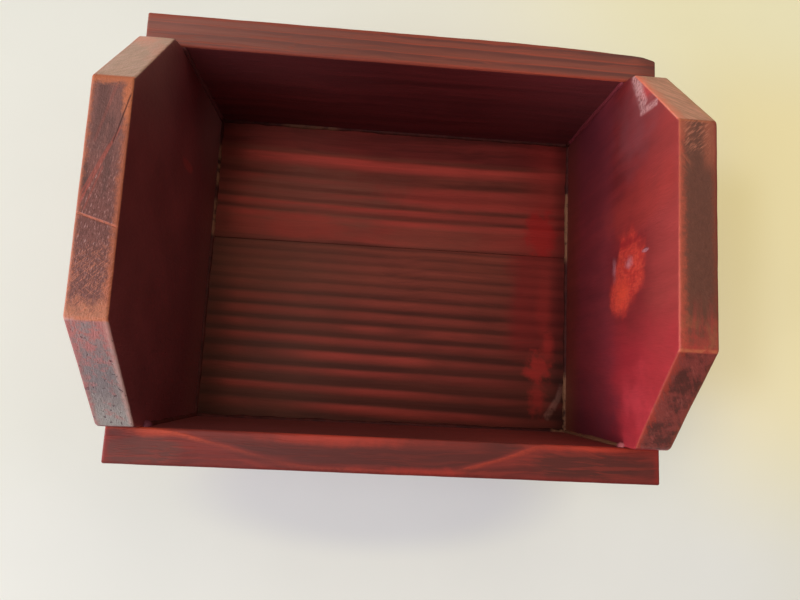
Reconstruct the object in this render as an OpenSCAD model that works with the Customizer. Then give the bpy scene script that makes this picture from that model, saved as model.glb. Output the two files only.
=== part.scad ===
// Open-topped box of six glued softwood boards, stained red and varnished.
// The front and back boards run the full length and cover the edges of the two
// end boards. The end boards stand taller, and both their upper corners are
// clipped at 45 degrees. The floor is two boards glued edge to edge and set in
// between the walls. Every joint is a plain glued butt joint, and the glue that
// was pressed out has dried as a round bead in each inside corner.
//
// +X runs along the length, +Y to the back and +Z up. The origin is the middle
// of the underside.

/* [Box] */
// Length over the end boards
box_l = 152; // [120:1:200]
// Width over the front and back boards
box_w = 129; // [105:1:170]

/* [Front and back boards] */
// Thickness of the front and back boards
side_t = 10; // [6:0.5:14]
// Height of the front and back boards
side_h = 60; // [40:1:75]

/* [End boards] */
// Thickness of the end boards
end_t = 10; // [6:0.5:14]
// Height of the end boards
end_h = 90; // [80:1:110]
// Leg of the 45 degree clip on the upper corners of an end board
clip_leg = 25; // [10:1:32]

/* [Floor] */
// Thickness of the floor boards
floor_t = 10; // [5:0.5:14]
// Width of the rear floor board
rear_floor_w = 44.5; // [25:0.5:65]

/* [Finish] */
// Radius sanded on the arrises of the walls
ease_r = 1; // [0.4:0.1:2]
// Thickness of the glue film in each joint
glue_film = 0.1; // [0.05:0.05:0.3]
// Radius of the dried glue bead round the floor
floor_bead_r = 1.4; // [1:0.1:2.5]
// Radius of the dried glue bead up each inside corner
corner_bead_r = 1.1; // [0.6:0.1:2]

/* [Hidden] */
$fn = 48;

// Room between the inner faces of the walls
inner_l = box_l - 2 * end_t;
inner_w = box_w - 2 * side_t;

// An end board fits between the side boards, and the floor between all four walls
end_w = inner_w - 2 * glue_film;
floor_l = inner_l - 2 * glue_film;
front_floor_w = inner_w - rear_floor_w - 3 * glue_film;

// How far a profile that trims a board runs past it
past = 5;

// The bare wood's stain is deepest on end grain
side_stain = [0.44, 0.18, 0.14];
end_stain = [0.36, 0.13, 0.12];
floor_stain = [0.42, 0.16, 0.13];
glue_tan = [0.68, 0.52, 0.38];

// Rectangle that stands on X and is centred on Y. The corners listed in eased are
// rounded: the first number is the side, -1 or 1, and the second the height, 0 or 1.
module eased_rect(w, h, eased) {
    difference() {
        translate([-w / 2, 0])
            square([w, h]);
        for (corner = eased)
            translate([corner[0] * w / 2, corner[1] * h])
                scale([-corner[0], 1 - 2 * corner[1]])
                    difference() {
                        square(ease_r);
                        translate([ease_r, ease_r])
                            circle(ease_r);
                    }
    }
}

// Cross-section of a wall, its outer face to the left: both upper arrises are
// sanded, and the lower one on the outside
module wall_section(thickness, height) {
    eased_rect(thickness, height, [[-1, 1], [1, 1], [-1, 0]]);
}

// A wall's cross-section run along X, its outer face to the front
module wall_run(length, thickness, height) {
    rotate([90, 0, 90])
        linear_extrude(length, center = true)
            wall_section(thickness, height);
}

// Front or back board, its outer face to the front and its middle at the origin
module side_board() {
    intersection() {
        wall_run(box_l + past, side_t, side_h);
        // Elevation: the end grain's upper and lower arrises
        rotate([90, 0, 0])
            linear_extrude(side_t + past, center = true)
                eased_rect(box_l, side_h, [[-1, 0], [1, 0], [-1, 1], [1, 1]]);
        // Plan: the upright arrises on the outside
        translate([0, -side_t / 2, -past])
            linear_extrude(side_h + 2 * past)
                eased_rect(box_l, side_t, [[-1, 0], [1, 0]]);
    }
}

// End board, its outer face to the front and its middle at the origin
module end_board() {
    intersection() {
        wall_run(end_w + past, end_t, end_h);
        // Plan: square where the side boards cover it, and eased above them
        union() {
            translate([-end_w / 2, -end_t / 2, 0])
                cube([end_w, end_t, side_h]);
            translate([0, -end_t / 2, 0])
                linear_extrude(end_h)
                    eased_rect(end_w, end_t, [[-1, 0], [1, 0], [-1, 1], [1, 1]]);
        }
        clipped_corner();
        mirror([1, 0, 0])
            clipped_corner();
    }
}

// All of an end board below the 45 degree line across its upper right corner,
// with that edge's arrises eased as the top's are
module clipped_corner() {
    translate([end_w / 2 - clip_leg, 0, end_h])
        rotate([0, 45, 0])
            translate([0, 0, -end_h - end_w])
                wall_run(2 * (end_h + end_w), end_t, end_h + end_w);
}

// Floor board that reaches back from the origin
module floor_board(width) {
    translate([-floor_l / 2, 0, 0])
        cube([floor_l, width, floor_t]);
}

// Quarter-round section of a glue bead in a square corner at the origin
module bead_section(bead_r) {
    intersection() {
        square(bead_r);
        circle(bead_r);
    }
}

// Straight bead along X, centred on it, against a wall on its front side
module bead_run(run) {
    rotate([90, 0, 90])
        linear_extrude(run, center = true)
            bead_section(floor_bead_r);
}

// Bead along one edge of the floor, mitred at both ends
module floor_bead(run) {
    intersection() {
        bead_run(run);
        linear_extrude(2 * floor_bead_r)
            polygon([
                [-run / 2, 0], [run / 2, 0],
                [run / 2 - 2 * floor_bead_r, 2 * floor_bead_r],
                [2 * floor_bead_r - run / 2, 2 * floor_bead_r]
            ]);
    }
}

// Upright bead in a corner at the origin. It stands on the two floor beads that
// meet there, and ends where the side board's arris begins to round.
module corner_bead() {
    meeting = 4 * floor_bead_r;
    difference() {
        linear_extrude(side_h - ease_r - floor_t)
            bead_section(corner_bead_r);
        bead_run(meeting);
        mirror([1, -1, 0])
            bead_run(meeting);
    }
}

// Moves a front left corner piece into its corner
module in_front_left() {
    translate([-inner_l / 2, -inner_w / 2, floor_t])
        children();
}

module front_board() {
    color(side_stain)
        translate([0, (side_t - box_w) / 2, 0])
            side_board();
}

module back_board() {
    color(side_stain)
        translate([0, (box_w - side_t) / 2, 0])
            mirror([0, 1, 0])
                side_board();
}

module left_end_board() {
    color(end_stain)
        translate([(end_t - box_l) / 2, 0, 0])
            rotate([0, 0, -90])
                end_board();
}

module right_end_board() {
    color(end_stain)
        translate([(box_l - end_t) / 2, 0, 0])
            rotate([0, 0, 90])
                end_board();
}

module floor_board_front() {
    color(floor_stain)
        translate([0, glue_film - inner_w / 2, 0])
            floor_board(front_floor_w);
}

module floor_board_rear() {
    color(floor_stain)
        translate([0, inner_w / 2 - glue_film - rear_floor_w, 0])
            floor_board(rear_floor_w);
}

module glue_bead_front() {
    color(glue_tan)
        translate([0, -inner_w / 2, floor_t])
            floor_bead(inner_l);
}

module glue_bead_back() {
    color(glue_tan)
        translate([0, inner_w / 2, floor_t])
            rotate([0, 0, 180])
                floor_bead(inner_l);
}

module glue_bead_left() {
    color(glue_tan)
        translate([-inner_l / 2, 0, floor_t])
            rotate([0, 0, -90])
                floor_bead(inner_w);
}

module glue_bead_right() {
    color(glue_tan)
        translate([inner_l / 2, 0, floor_t])
            rotate([0, 0, 90])
                floor_bead(inner_w);
}

module corner_glue_front_left() {
    color(glue_tan)
        in_front_left()
            corner_bead();
}

module corner_glue_front_right() {
    color(glue_tan)
        mirror([1, 0, 0])
            in_front_left()
                corner_bead();
}

module corner_glue_back_left() {
    color(glue_tan)
        mirror([0, 1, 0])
            in_front_left()
                corner_bead();
}

module corner_glue_back_right() {
    color(glue_tan)
        mirror([1, 0, 0])
            mirror([0, 1, 0])
                in_front_left()
                    corner_bead();
}

front_board();
back_board();
left_end_board();
right_end_board();
floor_board_front();
floor_board_rear();
glue_bead_front();
glue_bead_back();
glue_bead_left();
glue_bead_right();
corner_glue_front_left();
corner_glue_front_right();
corner_glue_back_left();
corner_glue_back_right();
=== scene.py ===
"""An open-topped box of stained, varnished softwood boards: its finishes, its glue and a pale table."""
import math
import operator
from functools import partial, reduce

import bmesh
import bpy
from mathutils import Matrix, Vector, noise


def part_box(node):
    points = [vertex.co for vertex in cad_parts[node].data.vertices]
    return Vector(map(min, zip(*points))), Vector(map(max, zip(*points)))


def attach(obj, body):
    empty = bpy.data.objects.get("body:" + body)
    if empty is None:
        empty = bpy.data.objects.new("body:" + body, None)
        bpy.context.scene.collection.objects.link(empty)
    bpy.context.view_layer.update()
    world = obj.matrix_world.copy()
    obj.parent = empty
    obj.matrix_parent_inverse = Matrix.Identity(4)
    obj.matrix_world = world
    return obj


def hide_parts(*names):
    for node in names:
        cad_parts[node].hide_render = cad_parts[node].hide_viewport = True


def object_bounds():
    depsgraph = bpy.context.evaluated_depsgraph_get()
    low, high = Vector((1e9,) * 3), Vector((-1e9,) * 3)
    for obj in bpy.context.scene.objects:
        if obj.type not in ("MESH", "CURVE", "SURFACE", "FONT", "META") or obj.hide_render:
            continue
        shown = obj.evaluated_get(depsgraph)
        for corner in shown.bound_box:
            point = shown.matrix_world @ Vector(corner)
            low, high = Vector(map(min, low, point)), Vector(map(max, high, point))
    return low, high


bl_info = {
    "name": "Stained Board Box",
    "version": (1, 0, 0),
    "blender": (4, 5, 0),
    "location": "3D View > Sidebar > Board Box",
    "description": "Dresses an open box of glued softwood boards in stain, varnish and dried glue",
    "category": "Object",
}

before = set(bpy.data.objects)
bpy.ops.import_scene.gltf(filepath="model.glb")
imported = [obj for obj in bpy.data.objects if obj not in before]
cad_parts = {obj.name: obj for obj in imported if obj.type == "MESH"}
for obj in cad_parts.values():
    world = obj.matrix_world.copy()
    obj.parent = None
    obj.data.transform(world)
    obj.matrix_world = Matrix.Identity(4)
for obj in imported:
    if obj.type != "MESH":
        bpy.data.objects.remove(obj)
CAD_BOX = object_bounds()

ROOT = "root"
MM = 0.001

# Places that several pieces share, in millimetres, read from the frame
SIDE_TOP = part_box("front_board")[1].z / MM
END_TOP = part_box("left_end_board")[1].z / MM
END_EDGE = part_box("right_end_board")[1].y / MM
FLOOR_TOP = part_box("floor_board_front")[1].z / MM
WALL_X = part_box("right_end_board")[0].x / MM
WALL_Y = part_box("back_board")[0].y / MM
SEAM_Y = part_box("floor_board_rear")[0].y / MM
OUTER_X = CAD_BOX[1].x / MM
OUTER_Y = CAD_BOX[1].y / MM

# The sawn clip on an end board's upper corners: how far it runs along the top and drops down the edge
CLIP_RUN = 25.7
CLIP_DROP = 23.8
CLIP_LENGTH = math.hypot(CLIP_RUN, CLIP_DROP)
RIDGE_Y = END_EDGE - CLIP_RUN
# How far the rear clip's lower end was sanded forwards
REAR_SET_BACK = 0.9
# How far each end board's tips lean along X: at the rear ridge, and at the front one
LEFT_LEAN = (0.15, 0.4)
RIGHT_LEAN = (0.5, -0.4)
# How much longer the back board's left end was left, and where the stretch starts
LONG_END = 1.0
LONG_END_START = -50.0
# Radii of the clips' ends, and of the floor boards' edge at the seam
CORNER_RADIUS = 1.6
RIDGE_RADIUS = 0.6
SEAM_RADIUS = 0.12
# How far from an arris its wear reaches, and how far inside the rounding the cuts start
WEAR_REACH = 2.2
CUT_MARGIN = 0.4
# Spacing of the cuts along a glue bead, the first and last half of it from the ends
BEAD_CUT = 1.2


def srgb(red, green, blue):
    """Scene-linear colour of an 8-bit display colour."""
    def linear(value):
        c = value / 255
        return c / 12.92 if c <= 0.04045 else ((c + 0.055) / 1.055) ** 2.4
    return (linear(red), linear(green), linear(blue))


# ---------------------------------------------------------------- shader expressions


class Field:
    """A value that varies over a surface. Plain arithmetic on it adds Math nodes."""

    def __init__(self, finish, socket):
        self.finish = finish
        self.socket = socket

    def __add__(self, other):
        return self.finish.math("ADD", self, other)

    __radd__ = __add__

    def __sub__(self, other):
        return self.finish.math("SUBTRACT", self, other)

    def __rsub__(self, other):
        return self.finish.math("SUBTRACT", other, self)

    def __mul__(self, other):
        return self.finish.math("MULTIPLY", self, other)

    __rmul__ = __mul__

    def __truediv__(self, other):
        return self.finish.math("DIVIDE", self, other)

    def __rtruediv__(self, other):
        return self.finish.math("DIVIDE", other, self)

    def __pow__(self, other):
        return self.finish.math("POWER", self, other)

    def __rpow__(self, other):
        return self.finish.math("POWER", other, self)

    def __abs__(self):
        return self.finish.math("ABSOLUTE", self)

    def __or__(self, other):
        """The greater of the two."""
        return self.finish.math("MAXIMUM", self, other)

    __ror__ = __or__

    def __and__(self, other):
        """The lesser of the two."""
        return self.finish.math("MINIMUM", self, other)

    __rand__ = __and__


def union(*masks):
    """The greatest of several masks."""
    return reduce(operator.or_, masks)


class Finish:
    """A material under construction, with its surface position in millimetres."""

    def __init__(self, name):
        self.material = bpy.data.materials.new(name)
        self.material.use_nodes = True
        self.tree = self.material.node_tree
        self.tree.nodes.clear()
        metres = self.add("ShaderNodeTexCoord", out="Object")
        self.place = self.add("ShaderNodeVectorMath", {"operation": "SCALE"},
                              {0: metres, "Scale": 1 / MM})
        self.x, self.y, self.z = (
            self.add("ShaderNodeSeparateXYZ", inputs={0: self.place}, out=axis) for axis in "XYZ")

    def add(self, kind, settings=None, inputs=None, out=0):
        """Adds one node, sets it up, fills or links its sockets and returns one of its outputs."""
        node = self.tree.nodes.new(kind)
        for key, value in (settings or {}).items():
            setattr(node, key, value)
        for key, value in (inputs or {}).items():
            socket = node.inputs[key]
            if isinstance(value, Field):
                self.tree.links.new(value.socket, socket)
            elif socket.type == "RGBA":
                socket.default_value = (*tuple(value)[:3], 1.0)
            else:
                socket.default_value = value
        return Field(self, node.outputs[out])

    def math(self, operation, *values):
        """One Math node on fields or numbers."""
        return self.add("ShaderNodeMath", {"operation": operation}, dict(enumerate(values)))

    def vector(self, x, y, z):
        return self.add("ShaderNodeCombineXYZ", inputs={0: x, 1: y, 2: z})

    def noise(self, vector, scale, detail=3.0, roughness=0.5):
        inputs = {"Vector": vector, "Scale": scale, "Detail": detail, "Roughness": roughness}
        return self.add("ShaderNodeTexNoise", inputs=inputs)

    def rise(self, value, start, end):
        """0 at start, 1 at end and smooth between them. Start may be the larger of the two."""
        inputs = {"Value": value, "From Min": start, "From Max": end}
        return self.add("ShaderNodeMapRange", {"interpolation_type": "SMOOTHSTEP"}, inputs)

    def between(self, value, low, high, soft=1.0):
        """1 from low to high, with soft ends outside them."""
        return self.rise(value, low - soft, low) * self.rise(value, high + soft, high)

    def tone(self, colour):
        """Scene-linear form of an 8-bit display colour. Fields and panel colours have it already."""
        return srgb(*colour) if isinstance(colour, tuple) else colour

    def mix(self, factor, first, second):
        inputs = {0: factor, 6: self.tone(first), 7: self.tone(second)}
        return self.add("ShaderNodeMix", {"data_type": "RGBA"}, inputs, out=2)

    def paint(self, colour, *coats):
        """Lays (amount, colour) coats over a colour, one after the other."""
        for amount, coat in coats:
            colour = self.mix(amount, colour, coat)
        return colour

    def shade(self, colour, level):
        """The colour times a level."""
        inputs = {0: self.tone(colour), "Scale": level}
        return self.add("ShaderNodeVectorMath", {"operation": "SCALE"}, inputs)

    def patch(self, along, across, middle, reach, ragged=0.0, grain=0.3, core=0.65):
        """Oval patch on a face: 1 in its core and 0 outside, its edge broken up by noise."""
        u = (along - middle[0]) / reach[0]
        v = (across - middle[1]) / reach[1]
        far = (u * u + v * v) ** 0.5 + (self.noise(self.place, grain, 4.0, 0.6) - 0.5) * ragged
        return self.rise(far, 1.25, core)

    def scratch(self, along, across, start, end, width):
        """Straight line between two points on a face."""
        dx, dy = end[0] - start[0], end[1] - start[1]
        length = math.hypot(dx, dy)
        run = (along - start[0]) * (dx / length) + (across - start[1]) * (dy / length)
        off = (across - start[1]) * (dx / length) - (along - start[0]) * (dy / length)
        inside = self.rise(abs(run - length / 2), length / 2, length / 2 - 1.0)
        return self.rise(abs(off), width, width * 0.3) * inside

    def close(self, colour, roughness, height, depth, coat=0.0, coat_roughness=0.25, gloss=0.5):
        """Joins colour, roughness and relief to a surface and returns the material."""
        normal = self.add("ShaderNodeBump", inputs={"Height": height, "Distance": depth * MM})
        inputs = {"Base Color": colour, "Roughness": roughness, "Normal": normal,
                  "Specular IOR Level": gloss, "Coat Weight": coat, "Coat Roughness": coat_roughness}
        return self.show(self.add("ShaderNodeBsdfPrincipled", inputs=inputs))

    def show(self, shader):
        """Makes a shader the material's surface."""
        target = self.tree.nodes.new("ShaderNodeOutputMaterial")
        self.tree.links.new(shader.socket, target.inputs["Surface"])
        return self.material


class Wood(Finish):
    """A stained softwood board with its grain along X, Y or Z."""

    def __init__(self, name, grain, shortening=0.03):
        super().__init__(name)
        stretch = [shortening if axis == grain else 1.0 for axis in "XYZ"]
        inputs = {"Vector": self.place, "Scale": 0.03, "Detail": 2.0}
        drift = self.add("ShaderNodeTexNoise", inputs=inputs, out="Color")
        warped = self.add("ShaderNodeVectorMath", {"operation": "MULTIPLY_ADD"},
                          {0: drift, 1: (6.0, 6.0, 6.0), 2: self.place})
        self.lengthwise = self.add("ShaderNodeVectorMath", {"operation": "MULTIPLY"},
                                   {0: warped, 1: stretch})
        self.fibre = self.noise(self.lengthwise, 1.8, 4.0, 0.6)
        self.streak = self.noise(self.lengthwise, 0.3, 3.0, 0.5)
        self.cloud = self.noise(self.place, 0.06, 3.0, 0.5)
        self.speck = self.noise(self.place, 1.1, 3.0, 0.6)


class EndBoardWood(Wood):
    """An end board's wood, with the noise that frays each edge on its end grain."""

    def __init__(self, name, shortening):
        super().__init__(name, "Z", shortening)
        self.ragged = self.noise(self.place, 0.6, 5.0, 0.7)

    def fray(self, value, amount, start, end):
        """A rise with a frayed edge."""
        return self.rise(value + (self.ragged - 0.5) * amount, start, end)

    def end_grain(self, top, front_clip, rear_clip_grain_and_sheen):
        """The top's colour as far as the ridges, and the clips' colours past them."""
        past = self.rise(abs(self.y) - RIDGE_Y, 0.1, 0.8)
        front = past * self.rise(self.y, 1, -1)
        rear = past * self.rise(self.y, -1, 1)
        return self.paint(top, (front, front_clip), (rear, rear_clip_grain_and_sheen))


# ---------------------------------------------------------------- properties


class BOARDBOX_PG_stage(bpy.types.PropertyGroup):
    """Camera, lamps and table."""

    camera_place: bpy.props.FloatVectorProperty(
        name="Camera place", description="Where the lens is", size=3, subtype="TRANSLATION",
        unit="LENGTH", precision=5, default=(-0.00845, -0.03915, 0.22547))
    camera_turn: bpy.props.FloatVectorProperty(
        name="Camera turn", description="How the camera is turned from looking straight down",
        size=3, subtype="EULER", unit="ROTATION", default=(0.1330, -0.0638, 0.0485))
    camera_lens: bpy.props.FloatProperty(
        name="Lens", description="Focal length on a 36 mm wide sensor, in millimetres", default=26.69)
    room_colour: bpy.props.FloatVectorProperty(
        name="Room", description="Light that comes from all round", size=3, subtype="COLOR",
        default=(1.0, 0.98, 0.95))
    room_strength: bpy.props.FloatProperty(
        name="Room strength", description="How bright the room is", default=0.22)
    cool_colour: bpy.props.FloatVectorProperty(
        name="Cool light", description="Colour of the softboxes on the left", size=3, subtype="COLOR",
        default=(0.88, 0.94, 1.0))
    warm_colour: bpy.props.FloatVectorProperty(
        name="Warm light", description="Colour of the softbox behind", size=3, subtype="COLOR",
        default=(1.0, 0.93, 0.82))
    low_power: bpy.props.FloatProperty(
        name="Low softbox", description="Power of the low softbox on the left", unit="POWER",
        default=10.4)
    high_power: bpy.props.FloatProperty(
        name="High softbox", description="Power of the softbox over the left", unit="POWER",
        default=6.0)
    rear_power: bpy.props.FloatProperty(
        name="Rear softbox", description="Power of the softbox behind", unit="POWER", default=3.0)
    strip_power: bpy.props.FloatProperty(
        name="Front strip", description="Power of the low strip light in front", unit="POWER",
        default=1.2)
    table_colour: bpy.props.FloatVectorProperty(
        name="Table", description="Colour of the table", size=3, subtype="COLOR",
        default=srgb(236, 232, 222))
    # The warm end is painted warm light on the table's colour
    painted_warm_light: bpy.props.FloatVectorProperty(
        name="Warm end", description="Colour of the table towards its right end", size=3,
        subtype="COLOR", default=srgb(236, 225, 180))


class BOARDBOX_PG_boards(bpy.types.PropertyGroup):
    """Shape and wear of the boards."""

    arris: bpy.props.FloatProperty(
        name="Arris", description="Radius sanded on the exposed arrises", unit="LENGTH",
        default=0.6 * MM)
    cut: bpy.props.FloatProperty(
        name="Cut", description="Spacing of the cuts that let a board be worn", unit="LENGTH",
        default=3.0 * MM)
    wear: bpy.props.FloatProperty(
        name="Wear", description="Deepest wear on an arris", unit="LENGTH", default=0.12 * MM)
    sanded_corner: bpy.props.FloatProperty(
        name="Sanded corner", description="Wood lost at the back board's right outer corner",
        unit="LENGTH", default=1.6 * MM)
    seed: bpy.props.IntProperty(name="Seed", description="Start of the wear's noise", default=7)


class BOARDBOX_PG_glue(bpy.types.PropertyGroup):
    """Dried glue in the inside corners."""

    floor_bead: bpy.props.FloatProperty(
        name="Floor bead", description="Mean radius of the beads round the floor", unit="LENGTH",
        default=0.85 * MM)
    corner_bead: bpy.props.FloatProperty(
        name="Corner bead", description="Mean radius of the beads up the corners", unit="LENGTH",
        default=1.0 * MM)
    unevenness: bpy.props.FloatProperty(
        name="Unevenness", description="How far a bead's radius strays, as a share of it", default=0.45)


# ---------------------------------------------------------------- meshes


def block(low, high):
    """A rectangular solid between two corners, in metres."""
    bm = bmesh.new()
    bmesh.ops.create_cube(bm, size=1.0)
    bmesh.ops.scale(bm, vec=high - low, verts=bm.verts)
    bmesh.ops.translate(bm, vec=(low + high) / 2, verts=bm.verts)
    return bm


def middle(edge):
    return (edge.verts[0].co + edge.verts[1].co) / 2


def ease(bm, chosen, radius, segments=4):
    """Rounds the edges whose middle the test picks."""
    edges = [edge for edge in bm.edges if chosen(edge)]
    bmesh.ops.bevel(bm, geom=edges, offset=radius, segments=segments, profile=0.5,
                    affect="EDGES", material=-1)


def slice_at(bm, place, normal, drop=False):
    """Cuts the mesh by a plane. Drop takes off what lies on the normal's side and closes the cut."""
    parts = bm.verts[:] + bm.edges[:] + bm.faces[:]
    found = bmesh.ops.bisect_plane(bm, geom=parts, dist=1e-7, plane_co=place, plane_no=normal,
                                   clear_outer=drop)
    if drop:
        rim = [part for part in found["geom_cut"] if isinstance(part, bmesh.types.BMEdge)]
        bmesh.ops.contextual_create(bm, geom=rim)


def slice_along(bm, axis, start, end, spacing):
    """Even cuts across an axis, with one at the start and one at the end."""
    count = max(1, round((end - start) / spacing))
    for step in range(count + 1):
        place = Vector((0, 0, 0))
        place[axis] = start + (end - start) * step / count
        normal = Vector((0, 0, 0))
        normal[axis] = 1
        slice_at(bm, place, normal)


def wear_arrises(bm, planes, reach, depth, seed):
    """Rubs wood off near the arrises. Planes are (outward normal, distance from the origin) pairs."""
    bm.normal_update()
    moves = {}
    for vert in bm.verts:
        gaps = sorted(abs(offset - normal.dot(vert.co)) for normal, offset in planes)
        near = max(0.0, 1 - gaps[1] / reach)
        if not near:
            continue
        place = vert.co / MM
        slow = noise.noise(place * 0.11 + Vector((seed, 0, 0)))
        fast = noise.noise(place * 0.45 + Vector((0, seed, 0)))
        moves[vert] = -vert.normal * depth * near * max(0.0, 0.45 + 0.6 * slow + 0.5 * fast)
    for vert, move in moves.items():
        vert.co += move


def finish_piece(name, bm, material, node):
    """Turns a bmesh into a piece that rides on the box in place of its CAD node."""
    bmesh.ops.remove_doubles(bm, verts=bm.verts, dist=1e-6)
    bmesh.ops.recalc_face_normals(bm, faces=bm.faces)
    mesh = bpy.data.meshes.new(name)
    bm.to_mesh(mesh)
    bm.free()
    mesh.shade_smooth()
    mesh.materials.append(material)
    piece = bpy.data.objects.new(name, mesh)
    bpy.context.scene.collection.objects.link(piece)
    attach(piece, ROOT)
    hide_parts(node)


def side_board(node, look):
    """Front or back board: all its outer arrises eased, cut fine enough to wear."""
    low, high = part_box(node)
    outer = low.y if low.y < 0 else high.y
    bm = block(low, high)

    def exposed(edge):
        m = middle(edge)
        on_top = abs(m.z - high.z) < 1e-6
        on_end = abs(abs(m.x) - high.x) < 1e-6
        outside = abs(m.y - outer) < 1e-6
        return on_top or outside or (on_end and abs(m.z - low.z) < 1e-6)

    ease(bm, exposed, look.arris)
    rim = look.arris + CUT_MARGIN * MM
    slice_along(bm, 0, low.x + rim, high.x - rim, look.cut)
    slice_along(bm, 1, low.y + rim, high.y - rim, look.cut)
    slice_along(bm, 2, low.z + rim, high.z - rim, look.cut)
    planes = [(Vector((1, 0, 0)), high.x), (Vector((-1, 0, 0)), -low.x),
              (Vector((0, 1, 0)), high.y), (Vector((0, -1, 0)), -low.y), (Vector((0, 0, 1)), high.z)]
    wear_arrises(bm, planes, WEAR_REACH * MM, look.wear, look.seed)
    return bm


def lean(bm, rear, front):
    """Tips an end board's free part along X, by one amount at each end, and sets its rear edge back."""
    for vert in bm.verts:
        above = max(0.0, vert.co.z / MM - SIDE_TOP)
        along = vert.co.y / MM
        share = min(1.3, max(-0.3, 0.5 + along / RIDGE_Y / 2))
        vert.co.x += (front + (rear - front) * share) * above / (END_TOP - SIDE_TOP) * MM
        vert.co.y -= REAR_SET_BACK * MM * min(1.0, above / 5) * max(0.0, (along - RIDGE_Y) / CLIP_RUN)


def lengthen(bm):
    """Stretches the back board's left end outwards."""
    for vert in bm.verts:
        share = max(0.0, (LONG_END_START - vert.co.x / MM) / (LONG_END_START + OUTER_X))
        vert.co.x -= LONG_END * MM * share


def sand_corner(bm, look):
    """Takes the back board's right outer corner down towards its top and its end."""
    long_start, short_start, foot = 28, 70, 38
    for vert in bm.verts:
        x, y, z = vert.co / MM
        long_slope = max(0.0, (x - long_start) / (OUTER_X - long_start)) ** 1.7
        short_slope = max(0.0, (x - short_start) / (OUTER_X - short_start)) ** 2 * 0.7
        along = long_slope + short_slope
        upward = min(1.0, max(0.0, (z - foot) / (SIDE_TOP - foot)))
        outward = max(0.0, (y - WALL_Y) / (OUTER_Y - WALL_Y))
        vert.co.y -= look.sanded_corner * along * upward * outward


def end_board(node, look):
    """Tall end board with clipped corners: eased on top, along the clips and where it stands free."""
    low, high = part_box(node)
    outer = low.x if low.x < 0 else high.x
    bm = block(low, high)
    foot = high.z - CLIP_DROP * MM
    slopes = [Vector((0, side * CLIP_DROP, CLIP_RUN)).normalized() for side in (-1, 1)]
    for side, slope in zip((-1, 1), slopes):
        slice_at(bm, Vector((0, side * high.y, foot)), slope, drop=True)

    def lower_corner(edge):
        m = middle(edge)
        return abs(m.z - foot) < 1e-5 and abs(abs(m.y) - high.y) < 1e-5

    def ridge(edge):
        m = middle(edge)
        return abs(m.z - high.z) < 1e-5 and abs(abs(m.y) - RIDGE_Y * MM) < 1e-5

    ease(bm, lower_corner, CORNER_RADIUS * MM, 4)
    ease(bm, ridge, RIDGE_RADIUS * MM, 2)
    slice_at(bm, Vector((0, 0, SIDE_TOP * MM)), Vector((0, 0, 1)))

    def exposed(edge):
        m = middle(edge)
        if len(edge.link_faces) != 2:
            return False
        turned = sorted(abs(face.normal.x) for face in edge.link_faces)
        if turned[0] > 0.1 or turned[1] < 0.9:
            return False
        return m.z > SIDE_TOP * MM + 1e-5 or (m.z < 1e-5 and abs(m.x - outer) < 1e-5)

    bm.normal_update()
    ease(bm, exposed, look.arris)
    rim = look.arris + CUT_MARGIN * MM
    slice_along(bm, 1, low.y + rim, high.y - rim, look.cut)
    slice_along(bm, 2, low.z + rim, high.z - rim, look.cut)
    slice_along(bm, 0, low.x + rim, high.x - rim, look.cut)
    planes = [(Vector((1, 0, 0)), high.x), (Vector((-1, 0, 0)), -low.x), (Vector((0, 0, 1)), high.z)]
    for side, slope in zip((-1, 1), slopes):
        corner = Vector((0, side * high.y, foot))
        slice_at(bm, corner - slope * rim, slope)
        planes.append((slope, slope.dot(corner)))
    wear_arrises(bm, planes, WEAR_REACH * MM, look.wear, look.seed + 3)
    return bm


def floor_board(node, look):
    """Floor board with its seam edge just broken."""
    low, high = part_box(node)
    seam = low.y if abs(low.y - SEAM_Y * MM) < 1 * MM else high.y
    bm = block(low, high)

    def on_seam(edge):
        m = middle(edge)
        return abs(m.z - high.z) < 1e-6 and abs(m.y - seam) < 1e-6

    ease(bm, on_seam, SEAM_RADIUS * MM, 2)
    rim = 0.5 * MM
    slice_along(bm, 0, low.x + rim, high.x - rim, look.cut)
    slice_along(bm, 1, low.y + rim, high.y - rim, look.cut)
    return bm


def bead(length, radius, mitred, swell):
    """Quarter-round bead along X from the origin, against the planes Y = 0 and Z = 0.

    Swell gives its radius at a distance along it, as a share of the mean one.
    """
    bm = block(Vector((0, 0, 0)), Vector((length, 1, 1)))

    def outer(edge):
        m = middle(edge)
        return abs(m.y - 1) < 1e-6 and abs(m.z - 1) < 1e-6

    ease(bm, outer, 0.97, 5)
    slice_along(bm, 0, BEAD_CUT / 2 * MM, length - BEAD_CUT / 2 * MM, BEAD_CUT * MM)
    for vert in bm.verts:
        share = swell(vert.co.x)
        vert.co.y *= radius * share
        vert.co.z *= radius * share
        if mitred:
            vert.co.x += (1 - 2 * vert.co.x / length) * vert.co.y
    return bm


# ---------------------------------------------------------------- finishes


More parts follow.
